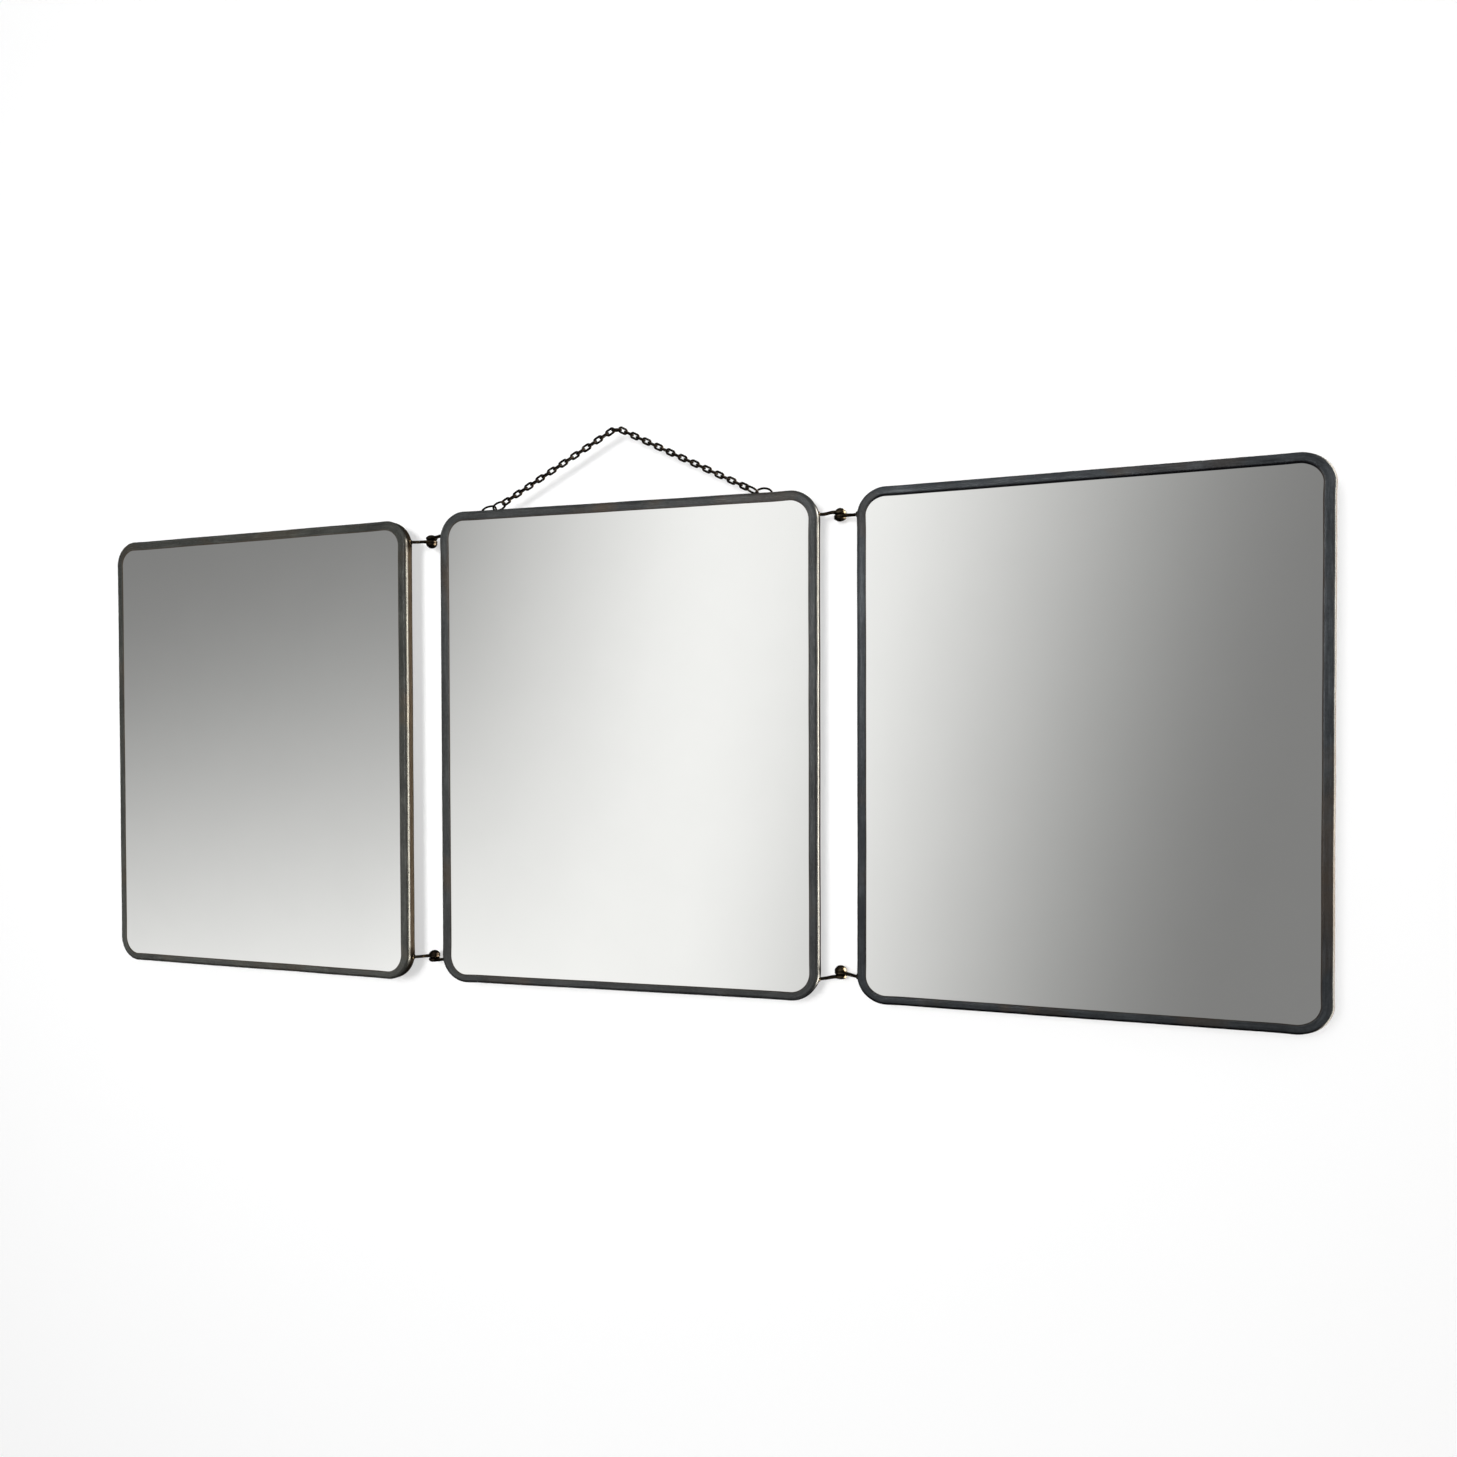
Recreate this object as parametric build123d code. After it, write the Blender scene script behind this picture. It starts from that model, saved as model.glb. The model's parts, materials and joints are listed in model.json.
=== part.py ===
from build123d import *
import math
import os

# Three-panel wall mirror hung from one nail by a chain. Millimetres.
# +X to the right, +Y into the wall, +Z up; the mirrors look towards -Y.
# The origin is the point where the nail carries the apex link.

# Panels: a folded sheet channel round a glass, a board and a rear cover
panel_width = 245.0
panel_height = 300.0
frame_depth = 8.0
frame_sheet = 0.6
lip_width = 5.6
rear_flange = 4.5
corner_radius = 16.5
shoulder_radius = 2.4
rear_edge_radius = 1.0
lip_edge_radius = 0.2
glass_thickness = 3.0
cover_thickness = 0.5
glass_play = 0.1

# Hinges: flat arms with eyes, stacked on upright rivets
panel_gap = 23.5
pin_setback = 4.0
hinge_inset = 13.3
wing_turn = 4.0
left_wing_drop = 1.4
eye_radius = 3.8
arm_thickness = 2.2
arm_width = 2.4
eye_gap = 0.1
arm_setback = 2.6
arm_straight = 2.0
arm_hole_play = 0.05
foot_thickness = 1.2
foot_height = 9.0
foot_play = 0.3
collar_radius = 2.4
collar_thickness = 0.8
collar_edge_radius = 0.3
rivet_radius = 1.5
running_play = 0.05
press_play = 0.01
dome_radius = 3.9
dome_height = 2.6
peen_radius = 2.9
peen_height = 1.2

# Hanging loops on the top of the centre panel
loop_inset = 33.0
loop_width = 10.2
loop_height = 4.0
loop_wire = 1.4
loop_bend = 3.0
loop_play = 0.05
loop_foot_radius = 1.2
loop_foot_thickness = 0.8
hang_setback = 2.8

# Chain: a round ring at each end, two straight runs and a level apex link
chain_rise = 45.8
apex_offset = -3.2
ring_radius = 4.1
ring_wire = 1.2
link_wire = 1.1
link_pitch = 4.37
link_inner_width = 1.7
link_gap = 0.05
ring_gap = 0.15
face_twist = -15.0
left_ring_twist = 58.0
right_ring_twist = 104.0

# Places that follow from the sizes
glass_inset = shoulder_radius + glass_play
glass_front = frame_sheet
glass_back = glass_front + glass_thickness
cover_back = frame_depth - frame_sheet
cover_front = cover_back - cover_thickness
pin_reach = (panel_width + panel_gap) / 2
pin_depth = frame_depth + pin_setback
arm_depth = frame_depth - arm_setback
foot_depth = 2 * (arm_setback - frame_sheet - foot_play)
foot_inset = frame_sheet + foot_thickness
hang_depth = frame_depth - hang_setback
loop_reach = panel_width / 2 - loop_inset
hinge_height = panel_height / 2 - hinge_inset
arm_level = (arm_thickness + eye_gap) / 2
apex_height = link_wire / 2
panel_place = Pos(
    -apex_offset, -hang_depth, apex_height - chain_rise - panel_height / 2
)


def plate(inset, radius, front, back):
    """A plate of the panel's outline, drawn in by inset, between two depths."""
    outline = RectangleRounded(
        panel_width - 2 * inset, panel_height - 2 * inset, radius
    )
    plane = Plane(origin=(0, front, 0), x_dir=(1, 0, 0), z_dir=(0, 1, 0))
    return extrude(plane * outline, amount=back - front)


def soften(solid, front_radius, back_radius):
    solid = fillet(solid.faces().sort_by(Axis.Y)[0].edges(), front_radius)
    return fillet(solid.faces().sort_by(Axis.Y)[-1].edges(), back_radius)


def slot_bar(thickness, play, start, end):
    """The flat tail of an arm along X, at the middle of its thickness."""
    width = arm_width + 2 * play
    height = thickness + 2 * play
    bar = Box(end - start, width, height)
    return Pos((start + end) / 2, 0, 0) * bar


def frame_channel(hinge_sides, wing, with_loops):
    """The sheet channel: lip, side wall and rear flange round the outline."""
    body = plate(0, corner_radius, 0, frame_depth)
    body = soften(body, shoulder_radius, rear_edge_radius)
    hollow = plate(
        frame_sheet, corner_radius - frame_sheet, frame_sheet, cover_back
    )
    hollow = soften(
        hollow, shoulder_radius - frame_sheet, rear_edge_radius - frame_sheet
    )
    window = plate(lip_width, corner_radius - lip_width, 0, glass_front)
    rear = plate(
        rear_flange, corner_radius - rear_flange, cover_back, frame_depth
    )
    body = body - hollow - window - rear
    rim = body.faces().sort_by(Axis.Y)[0].inner_wires()[0].edges()
    body = fillet(rim, lip_edge_radius)
    for side in hinge_sides:
        for level in (1, -1):
            body = body - tail_hole(side, level, wing)
    if with_loops:
        for side in (-1, 1):
            for leg in (-1, 1):
                body = body - leg_hole(side, leg)
    return body


def wing_drop(side):
    """How much lower a wing stands than the centre panel."""
    return left_wing_drop if side < 0 else 0.0


def arm_height(side, level, wing):
    """The height of an arm, from the middle of its own panel.

    side is the side of that panel that the hinge is on.
    """
    if wing:
        return level * (hinge_height - arm_level) + wing_drop(-side)
    return level * (hinge_height + arm_level)


def root_place(side, level, wing):
    """Where an arm's tail meets the side wall of its own panel."""
    z = arm_height(side, level, wing)
    return Pos(side * panel_width / 2, arm_depth, z)


def tail_hole(side, level, wing):
    bar = slot_bar(arm_thickness, arm_hole_play, -glass_inset, frame_sheet)
    return root_place(side, level, wing) * Rot(0, 0, 90 - 90 * side) * bar


def leg_hole(side, leg):
    x = side * loop_reach + leg * loop_width / 2
    hole = Cylinder(loop_wire / 2 + loop_play, 4 * frame_sheet)
    return Pos(x, hang_depth, panel_height / 2) * hole


def mirror_glass():
    return plate(
        glass_inset, corner_radius - glass_inset, glass_front, glass_back
    )


def backing_board():
    return plate(
        glass_inset, corner_radius - glass_inset, glass_back, cover_front
    )


def rear_cover():
    return plate(
        glass_inset, corner_radius - glass_inset, cover_front, cover_back
    )


def arm_plan(bore):
    """The flat outline of an arm on the right side of its panel."""
    eye_place = Pos(pin_reach, pin_depth)
    neck_place = Pos(panel_width / 2 + arm_straight, arm_depth)
    eye = eye_place * Circle(eye_radius)
    neck = neck_place * Circle(arm_width / 2)
    web = make_hull([eye.edge(), neck.edge()])
    length = arm_straight + glass_inset
    middle = panel_width / 2 + arm_straight - length / 2
    tail = Pos(middle, arm_depth) * Rectangle(length, arm_width)
    return web + tail - eye_place * Circle(bore)


def arm_foot(level, z):
    """The foot of an arm, which lies along the inside of the side wall."""
    front = arm_depth - foot_depth / 2
    back = arm_depth + foot_depth / 2
    outer = plate(frame_sheet, corner_radius - frame_sheet, front, back)
    inner = plate(foot_inset, corner_radius - foot_inset, front, back)
    middle = z + level * (arm_thickness - foot_height) / 2
    span = Box(2 * corner_radius, 2 * frame_depth, foot_height)
    return (outer - inner) & Pos(panel_width / 2, 0, middle) * span


def hinge_arm(side, level, wing):
    """One arm: eye, tapered web, tail through the wall and its foot inside.

    side is the side of its own panel that the hinge is on.
    """
    z = arm_height(side, level, wing)
    bore = rivet_radius + (running_play if wing else press_play)
    arm = extrude(arm_plan(bore), amount=arm_thickness / 2, both=True)
    inside = plate(foot_inset, corner_radius - foot_inset, 0, frame_depth)
    arm = Pos(0, 0, z) * arm - inside + arm_foot(level, z)
    if side < 0:
        arm = mirror(arm, about=Plane.YZ)
    return arm


def hinge_collar(side, level, wing):
    """The small ring round an arm's tail, on the outside of the wall."""
    length = collar_thickness + glass_inset
    ring = Cylinder(collar_radius, length, rotation=(0, 90, 0))
    ring = Pos(collar_thickness - length / 2, 0, 0) * ring
    ring = fillet(ring.faces().sort_by(Axis.X)[-1].edges(), collar_edge_radius)
    hole = slot_bar(
        arm_thickness, arm_hole_play, -glass_inset, 2 * collar_thickness
    )
    ring = Rot(0, 0, 90 - 90 * side) * (ring - hole)
    body = plate(0, corner_radius, 0, frame_depth)
    return root_place(side, level, wing) * ring - body


def cap(radius, height):
    """A dome on the XY plane, rising along +Z."""
    ball_radius = (radius**2 + height**2) / (2 * height)
    ball = Pos(0, 0, height - ball_radius) * Sphere(ball_radius)
    side = 2 * (radius + height)
    return ball & Pos(0, 0, side / 2) * Box(side, side, side)


def hinge_rivet(side, level):
    """A rivet with its dome towards the middle of the panel's height."""
    stack = 2 * arm_thickness + 2 * eye_gap
    shank = Pos(0, 0, stack / 2) * Cylinder(rivet_radius, stack)
    dome = mirror(cap(dome_radius, dome_height), about=Plane.XY)
    peen = Pos(0, 0, stack) * cap(peen_radius, peen_height)
    base = -arm_thickness - 1.5 * eye_gap
    rivet = Pos(0, 0, base) * (shank + dome + peen)
    if level < 0:
        rivet = mirror(rivet, about=Plane.XY)
    return Pos(side * pin_reach, pin_depth, level * hinge_height) * rivet


def hanging_loop(side):
    """A low wire loop whose legs pass through the top wall of the channel."""
    half = loop_width / 2
    top = loop_height
    foot = -frame_sheet - loop_foot_thickness
    path = FilletPolyline(
        (-half, 0, foot), (-half, 0, top), (half, 0, top), (half, 0, foot),
        radius=loop_bend,
    )
    loop = sweep(Pos(-half, 0, foot) * Circle(loop_wire / 2), path=path)
    for leg in (-half, half):
        pad = Cylinder(loop_foot_radius, loop_foot_thickness)
        loop = loop + Pos(leg, 0, foot + loop_foot_thickness / 2) * pad
    return Pos(side * loop_reach, hang_depth, panel_height / 2) * loop


def chain_link(inner_length, inner_width, wire):
    """A link with round ends, long along X and flat in the XZ plane."""
    bend = (inner_width + wire) / 2
    half = inner_length / 2 + wire / 2 - bend
    section = Circle(wire / 2)
    if half <= 0:
        return Rot(90, 0, 0) * Torus(bend, wire / 2)
    start = Plane(origin=(half, 0, bend), x_dir=(0, 1, 0), z_dir=(-1, 0, 0))
    end = revolve(start * section, Axis((half, 0, 0), (0, 1, 0)), 180)
    bar = extrude(start * section, amount=2 * half)
    right_half = end + bar
    return right_half + Rot(0, 180, 0) * right_half


def along(origin, heading, distance, twist, shape):
    """Put a link at a distance from origin along a heading in the XZ plane."""
    x = origin[0] + distance * math.cos(heading)
    z = origin[1] + distance * math.sin(heading)
    tilt = -math.degrees(heading)
    return Pos(x, 0, z) * Rot(0, tilt, 0) * Rot(twist, 0, 0) * shape


def chain_run(side, ring_twist):
    """The end ring and the links from one hanging loop to the apex link."""
    bend_x = side * (loop_reach - loop_width / 2 + loop_bend)
    bend_x = bend_x - apex_offset
    bend_z = apex_height - chain_rise + loop_height - loop_bend
    apex_x = side * (link_pitch + link_gap + link_wire) / 2
    run = (apex_x - bend_x, apex_height - bend_z)
    heading = math.atan2(run[1], run[0])
    seat = loop_bend - (loop_wire + ring_wire) / 2 - ring_gap
    ring_at = seat + ring_radius
    hook = ring_at + ring_radius - (ring_wire + link_wire) / 2 - ring_gap
    length = math.hypot(*run) - hook
    count = 2 * round((length / link_pitch - 1) / 2) + 1
    pitch = length / count
    origin = (bend_x, bend_z)
    torus = Rot(90, 0, 0) * Torus(ring_radius, ring_wire / 2)
    ring = along(origin, heading, ring_at, ring_twist, torus)
    link = chain_link(pitch + link_gap, link_inner_width, link_wire)
    first = hook + (pitch + link_gap + link_wire) / 2
    links = []
    for number in range(count):
        twist = face_twist + 90 * (number % 2)
        distance = first + number * pitch
        links.append(along(origin, heading, distance, twist, link))
    return ring, Compound(children=links)


def apex_link():
    link = chain_link(link_pitch + link_gap, link_inner_width, link_wire)
    return Pos(0, 0, apex_height) * Rot(90, 0, 0) * link


def wing_place(side):
    """A wing stands beside the centre panel, turned about its hinge pins."""
    pin = Pos(side * pin_reach, pin_depth, 0)
    beside = Pos(side * pin_reach, -pin_depth, -wing_drop(side))
    return panel_place * pin * Rot(0, 0, -wing_turn) * beside


def panel_parts(name, place, hinge_sides, wing):
    collars = [
        hinge_collar(side, level, wing)
        for side in hinge_sides
        for level in (1, -1)
    ]
    channel = frame_channel(hinge_sides, wing, with_loops=not wing)
    return {
        name + "_frame": place * channel,
        name + "_mirror_glass": place * mirror_glass(),
        name + "_backing_board": place * backing_board(),
        name + "_rear_cover": place * rear_cover(),
        name + "_hinge_collars": place * Compound(children=collars),
    }


def hinge_parts(name, side):
    parts = {}
    for level_name, level in (("upper", 1), ("lower", -1)):
        hinge = name + "_" + level_name + "_hinge"
        centre_arm = hinge_arm(side, level, wing=False)
        wing_arm = hinge_arm(-side, level, wing=True)
        parts[hinge + "_centre_arm"] = panel_place * centre_arm
        parts[hinge + "_wing_arm"] = wing_place(side) * wing_arm
        parts[hinge + "_rivet"] = panel_place * hinge_rivet(side, level)
    return parts


def hanger_parts():
    left_ring, left_run = chain_run(-1, left_ring_twist)
    right_ring, right_run = chain_run(1, right_ring_twist)
    return {
        "left_hanging_loop": panel_place * hanging_loop(-1),
        "right_hanging_loop": panel_place * hanging_loop(1),
        "left_end_ring": left_ring,
        "right_end_ring": right_ring,
        "left_chain_run": left_run,
        "right_chain_run": right_run,
        "apex_link": apex_link(),
    }


parts = {}
parts.update(panel_parts("centre", panel_place, (-1, 1), wing=False))
parts.update(panel_parts("left", wing_place(-1), (1,), wing=True))
parts.update(panel_parts("right", wing_place(1), (-1,), wing=True))
parts.update(hinge_parts("left", -1))
parts.update(hinge_parts("right", 1))
parts.update(hanger_parts())

os.makedirs("parts", exist_ok=True)
for node, shape in parts.items():
    export_step(shape, "parts/" + node + ".step")
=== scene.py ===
import bpy
import bmesh
import json
import math
from mathutils import Matrix, Vector, noise


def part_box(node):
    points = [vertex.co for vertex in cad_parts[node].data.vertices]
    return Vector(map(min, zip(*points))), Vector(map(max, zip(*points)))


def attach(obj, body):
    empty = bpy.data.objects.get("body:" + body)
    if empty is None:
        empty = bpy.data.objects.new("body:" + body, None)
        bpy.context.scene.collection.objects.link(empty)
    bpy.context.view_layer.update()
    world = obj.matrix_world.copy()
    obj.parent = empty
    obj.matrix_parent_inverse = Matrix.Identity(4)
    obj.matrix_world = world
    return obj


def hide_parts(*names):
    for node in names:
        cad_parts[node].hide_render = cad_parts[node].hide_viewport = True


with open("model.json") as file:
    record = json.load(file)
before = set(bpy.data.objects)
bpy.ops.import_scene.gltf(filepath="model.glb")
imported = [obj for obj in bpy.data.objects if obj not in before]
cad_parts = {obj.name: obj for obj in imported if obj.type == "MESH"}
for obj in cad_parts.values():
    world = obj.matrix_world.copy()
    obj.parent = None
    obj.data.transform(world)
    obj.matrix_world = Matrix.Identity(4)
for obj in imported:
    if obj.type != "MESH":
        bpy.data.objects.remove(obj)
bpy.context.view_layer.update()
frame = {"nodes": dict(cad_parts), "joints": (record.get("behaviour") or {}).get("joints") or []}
nodes = frame["nodes"]
print("frame loaded:", len(nodes), "nodes")

mm = 0.001
hair = 0.001 * mm  # for comparing depths and welding corners

# small helpers for places and objects


def boxCentre(node):
    low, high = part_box(node)
    return (low + high) / 2


def foldPin(side):
    joint = next(joint for joint in frame["joints"] if joint["name"] == side + "_wing_fold")
    return Vector(joint["pos_m"])


def bodyOf(panel):
    return "centre_panel" if panel == "centre" else panel + "_wing"


def addObject(name, data):
    piece = bpy.data.objects.new(name, data)
    bpy.context.scene.collection.objects.link(piece)
    return piece


# small helpers for materials


def newMaterial(name):
    material = bpy.data.materials.new(name)
    material.use_nodes = True
    tree = material.node_tree
    tree.nodes.clear()
    output = tree.nodes.new("ShaderNodeOutputMaterial")
    shader = tree.nodes.new("ShaderNodeBsdfPrincipled")
    tree.links.new(shader.outputs["BSDF"], output.inputs["Surface"])
    return material, tree, shader


def addNode(tree, kind, inputs=None, **settings):
    node = tree.nodes.new(kind)
    for key, value in settings.items():
        setattr(node, key, value)
    for key, value in (inputs or {}).items():
        if isinstance(value, bpy.types.NodeSocket):
            tree.links.new(value, node.inputs[key])
        else:
            node.inputs[key].default_value = value
    return node


def objectPoint(tree, stretch=(1, 1, 1)):
    place = addNode(tree, "ShaderNodeTexCoord")
    mapping = addNode(
        tree, "ShaderNodeMapping", {"Vector": place.outputs["Object"], "Scale": stretch}
    )
    return mapping.outputs["Vector"]


def noiseOf(tree, point, scale, detail=4.0, roughness=0.55, distortion=0.0):
    node = addNode(
        tree,
        "ShaderNodeTexNoise",
        {
            "Vector": point,
            "Scale": scale,
            "Detail": detail,
            "Roughness": roughness,
            "Distortion": distortion,
        },
    )
    return node.outputs["Fac"]


def rampOf(tree, value, stops):
    ramp = addNode(tree, "ShaderNodeValToRGB", {"Fac": value})
    band = ramp.color_ramp.elements
    while len(band) < len(stops):
        band.new(0.5)
    for element, (position, colour) in zip(band, stops):
        element.position = position
        element.color = (*colour, 1) if len(colour) == 3 else colour
    return ramp.outputs["Color"]


def greyRamp(tree, value, stops):
    return rampOf(tree, value, [(at, (level,) * 3) for at, level in stops])


def mixColours(tree, factor, first, second, blend="MIX"):
    node = addNode(tree, "ShaderNodeMix", data_type="RGBA", blend_type=blend)
    for socket, value in ((0, factor), (6, first), (7, second)):
        if isinstance(value, bpy.types.NodeSocket):
            tree.links.new(value, node.inputs[socket])
        elif socket == 0:
            node.inputs[socket].default_value = value
        else:
            node.inputs[socket].default_value = (*value, 1)
    return node.outputs[2]


def addMath(tree, operation, *values):
    node = addNode(tree, "ShaderNodeMath", operation=operation)
    for socket, value in enumerate(values):
        if isinstance(value, bpy.types.NodeSocket):
            tree.links.new(value, node.inputs[socket])
        else:
            node.inputs[socket].default_value = value
    return node.outputs[0]


def softStep(tree, value, middle, reach):
    step = addNode(
        tree,
        "ShaderNodeMapRange",
        {"Value": value, "From Min": middle - reach, "From Max": middle + reach},
        interpolation_type="SMOOTHSTEP",
    )
    return step.outputs["Result"]


def addBump(tree, shader, height, strength, distance):
    bump = addNode(
        tree,
        "ShaderNodeBump",
        {"Height": height, "Strength": strength, "Distance": distance},
    )
    tree.links.new(bump.outputs["Normal"], shader.inputs["Normal"])


def addGrain(tree, shader, point, grain):
    height = noiseOf(tree, point, grain["perMetre"])
    addBump(tree, shader, height, grain["strength"], grain["depth"])


def feed(tree, shader, socket, value):
    tree.links.new(value, shader.inputs[socket])


# the folded sheet channel: dark, cloudy, drawn along its length

channelFinish = {
    "dark": (0.020, 0.021, 0.022),
    "middle": (0.042, 0.044, 0.045),
    "light": (0.075, 0.079, 0.080),
    "brown": (0.070, 0.050, 0.034),
    "brownMost": 0.6,
    "edgeBrown": (0.050, 0.034, 0.022),
    "edgeBrownMost": 0.8,
    # painted shade: the side wall is darkened to brown
    "wallBrownMost": 0.85,
    # painted shade: near black under the bottom shoulders and along the top lip's inner edge, by
    # each panel's share, most on the right
    "paintedShade": (0.002, 0.002, 0.003),
    "paintedShadeShares": {"left": 0.0, "centre": 0.25, "right": 1.0},
    # painted shade: a dark brown line along the right panel's outer right edge
    "rim": (0.045, 0.028, 0.018),
    "tints": {
        "left": (1.05, 1.03, 0.90),
        "centre": (1.0, 1.0, 0.98),
        "right": (1.08, 1.13, 1.20),
    },
    # painted shade: each panel's tone darker towards the bottom, by its low share
    "lowShade": {"left": 1.0, "centre": 0.72, "right": 0.62},
    "shadeHeights": (-0.34, -0.12),
    "metal": 0.25,
    "glosses": {"left": 0.42, "centre": 0.38, "right": 0.13},
    "wallGloss": 0.06,
    "roughness": (0.20, 0.32),
    "paintedShadeRoughness": 0.25,
    "wallRoughness": 0.3,
    "edgeRoughness": 0.85,
    "streaksPerMetre": (55, 900, 1),
    "streakShare": 0.55,
    "cloudsPerMetre": 48,
    "cloudShare": 0.45,
    "grainsPerMetre": 620,
    "blotchesPerMetre": 19,
    "pitsPerMetre": 900,
    "pitShare": 0.5,
    "pitDepth": 0.05 * mm,
    "relief": 0.35,
}


def meshValues(tree, name):
    node = addNode(tree, "ShaderNodeAttribute", attribute_name=name)
    parts = addNode(tree, "ShaderNodeSeparateXYZ", {"Vector": node.outputs["Vector"]})
    return node.outputs["Vector"], parts.outputs


# clouds of old nickel with brown blotches, a brown inner lip edge, and painted shade laid over them
# by each place's shares: a brown side wall, black under the bottom shoulders and along the top lip
# edge, a dark right rim, and darker towards the bottom
def channelTone(tree, panel, point, patches, shares):
    edge, paintedShade, wall, rim = shares
    finish = channelFinish
    tone = rampOf(
        tree, patches, [(0.34, finish["dark"]), (0.50, finish["middle"]), (0.68, finish["light"])]
    )
    fine = noiseOf(tree, point, finish["grainsPerMetre"], 4, 0.6)
    grain = greyRamp(tree, fine, [(0.32, 0.86), (0.66, 1.12)])
    tone = mixColours(tree, 1.0, tone, grain, "MULTIPLY")
    blotch = noiseOf(tree, point, finish["blotchesPerMetre"], 3, 0.5, 0.8)
    brownAt = greyRamp(tree, blotch, [(0.54, 0.0), (0.70, finish["brownMost"])])
    tone = mixColours(tree, brownAt, tone, finish["brown"])
    edgeAt = addMath(tree, "MULTIPLY", edge, finish["edgeBrownMost"])
    tone = mixColours(tree, edgeAt, tone, finish["edgeBrown"])
    # painted shade: the side wall darkened to brown
    wallAt = addMath(tree, "MULTIPLY", wall, finish["wallBrownMost"])
    tone = mixColours(tree, wallAt, tone, finish["edgeBrown"])
    tone = mixColours(tree, 1.0, tone, finish["tints"][panel], "MULTIPLY")
    # painted shade: the near-black tone laid on by its share
    tone = mixColours(tree, paintedShade, tone, finish["paintedShade"])
    # painted shade: the dark brown rim on the right panel's outer edge
    tone = mixColours(tree, rim, tone, finish["rim"])
    # painted shade: darker towards the bottom, between the two shade heights
    heights = addNode(tree, "ShaderNodeSeparateXYZ", {"Vector": point})
    bottom, top = finish["shadeHeights"]
    shade = addNode(
        tree,
        "ShaderNodeMapRange",
        {
            "Value": heights.outputs[2],
            "From Min": bottom,
            "From Max": top,
            "To Min": finish["lowShade"][panel],
        },
    )
    return mixColours(tree, 1.0, tone, shade.outputs["Result"], "MULTIPLY")


def channelMaterial(panel, gloss, kind="Channel"):
    finish = channelFinish
    material, tree, shader = newMaterial(panel + kind)
    point = objectPoint(tree)
    drawn, drawnParts = meshValues(tree, "drawn")
    edge, paintedShade, wall = meshValues(tree, "zone")[1]
    rim = drawnParts[2]
    paintedShade = addMath(tree, "MULTIPLY", paintedShade, finish["paintedShadeShares"][panel])
    stretched = addNode(
        tree, "ShaderNodeMapping", {"Vector": drawn, "Scale": finish["streaksPerMetre"]}
    )
    streak = noiseOf(tree, stretched.outputs["Vector"], 1.0, 4, 0.6, 0.3)
    cloud = noiseOf(tree, point, finish["cloudsPerMetre"], 6, 0.6, 0.4)
    streakPart = addMath(tree, "MULTIPLY", streak, finish["streakShare"])
    patches = addMath(tree, "MULTIPLY_ADD", cloud, finish["cloudShare"], streakPart)
    tone = channelTone(tree, panel, point, patches, (edge, paintedShade, wall, rim))
    feed(tree, shader, "Base Color", tone)
    low, high = finish["roughness"]
    rough = greyRamp(tree, patches, [(0.3, high), (0.7, low)])
    for share, kindOfPlace in ((wall, "wall"), (edge, "edge"), (paintedShade, "paintedShade"), (rim, "edge")):
        rough = mixColours(tree, share, rough, (finish[kindOfPlace + "Roughness"],) * 3)
    feed(tree, shader, "Roughness", rough)
    shader.inputs["Metallic"].default_value = finish["metal"]
    shader.inputs["Specular IOR Level"].default_value = gloss
    pits = noiseOf(tree, point, finish["pitsPerMetre"], 3, 0.6)
    pits = greyRamp(tree, pits, [(0.28, 0.0), (0.40, 1.0)])
    relief = addMath(tree, "MULTIPLY_ADD", pits, finish["pitShare"], streak)
    addBump(tree, shader, relief, finish["relief"], finish["pitDepth"])
    return material


glassFinish = {
    "silver": (0.90, 0.905, 0.895),
    "haze": 0.018,
    "hazePerMetre": 30,
    "spot": (0.18, 0.15, 0.12),
    "spotShare": 0.12,
    "spotsPerMetre": 700,
}


def mirrorMaterial():
    finish = glassFinish
    material, tree, shader = newMaterial("silveredGlass")
    point = objectPoint(tree)
    haze = noiseOf(tree, point, finish["hazePerMetre"], 5, 0.6)
    tone = greyRamp(tree, haze, [(0.3, 0.985), (0.7, 1.0)])
    tone = mixColours(tree, 1.0, tone, finish["silver"], "MULTIPLY")
    spots = noiseOf(tree, point, finish["spotsPerMetre"], 2, 0.5)
    spotAt = greyRamp(tree, spots, [(0.77, 0.0), (0.80, finish["spotShare"])])
    tone = mixColours(tree, spotAt, tone, finish["spot"])
    feed(tree, shader, "Base Color", tone)
    rough = greyRamp(tree, haze, [(0.3, finish["haze"]), (0.75, 2.2 * finish["haze"])])
    feed(tree, shader, "Roughness", rough)
    shader.inputs["Metallic"].default_value = 1.0
    return material


boardFinish = {
    "light": (0.20, 0.17, 0.13),
    "dark": (0.11, 0.09, 0.07),
    "roughness": 0.9,
    "fibresPerMetre": 260,
    "nap": {"perMetre": 900, "strength": 0.4, "depth": 0.05 * mm},
}


def boardMaterial():
    finish = boardFinish
    material, tree, shader = newMaterial("greyBoard")
    point = objectPoint(tree)
    fibres = noiseOf(tree, objectPoint(tree, (1, 1, 9)), finish["fibresPerMetre"], 6, 0.7)
    tone = rampOf(tree, fibres, [(0.35, finish["dark"]), (0.7, finish["light"])])
    feed(tree, shader, "Base Color", tone)
    shader.inputs["Roughness"].default_value = finish["roughness"]
    addGrain(tree, shader, point, finish["nap"])
    return material


coverFinish = {
    "dark": (0.105, 0.112, 0.118),
    "light": (0.215, 0.225, 0.23),
    "stain": (0.060, 0.052, 0.042),
    "stainMost": 0.6,
    "metal": 0.05,
    "gloss": 0.03,
    "roughness": (0.50, 0.68),
    "spanglesPerMetre": 95.0,
    "spangleShare": 0.35,
    "spangleBase": 0.5,
    "cloudsPerMetre": 22,
    "stainsPerMetre": 11,
    "dents": {"perMetre": 240, "strength": 0.15, "depth": 0.05 * mm},
}


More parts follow.
